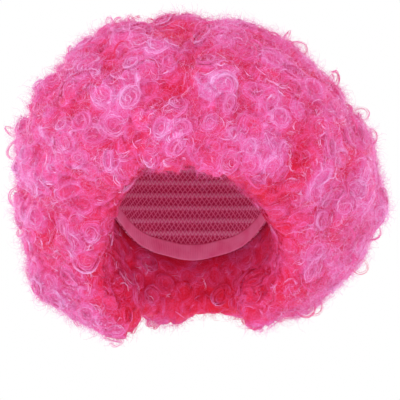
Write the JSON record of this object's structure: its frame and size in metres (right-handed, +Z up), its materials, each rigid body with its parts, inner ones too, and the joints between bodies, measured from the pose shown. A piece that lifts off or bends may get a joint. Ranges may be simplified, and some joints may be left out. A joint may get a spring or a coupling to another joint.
{
  "type": "curly wig",
  "caption": "Full round curly wig: a stretch cap with an elastic edge band under a deep mass of bright pink ringlets, open over the face and under the neck.",
  "frame": {"origin": "the point inside the cap where the top of the head sits", "axes": "+Z up, +X to the right as the wig is seen from the front, -Y the way the face looks"},
  "size_m": [0.3243, 0.307, 0.2725],
  "materials": {
    "hair": "curled synthetic fibre, slightly glossy",
    "cap": "stretch net with sewn wefts, matt",
    "band": "ribbed elastic tape, matt"
  },
  "bodies": {
    "root": {"cap": "cap", "edge_band": "band", "hair_crown": "hair", "hair_fringe": "hair", "hair_right": "hair", "hair_back": "hair", "hair_left": "hair"}
  },
  "joints": []
}
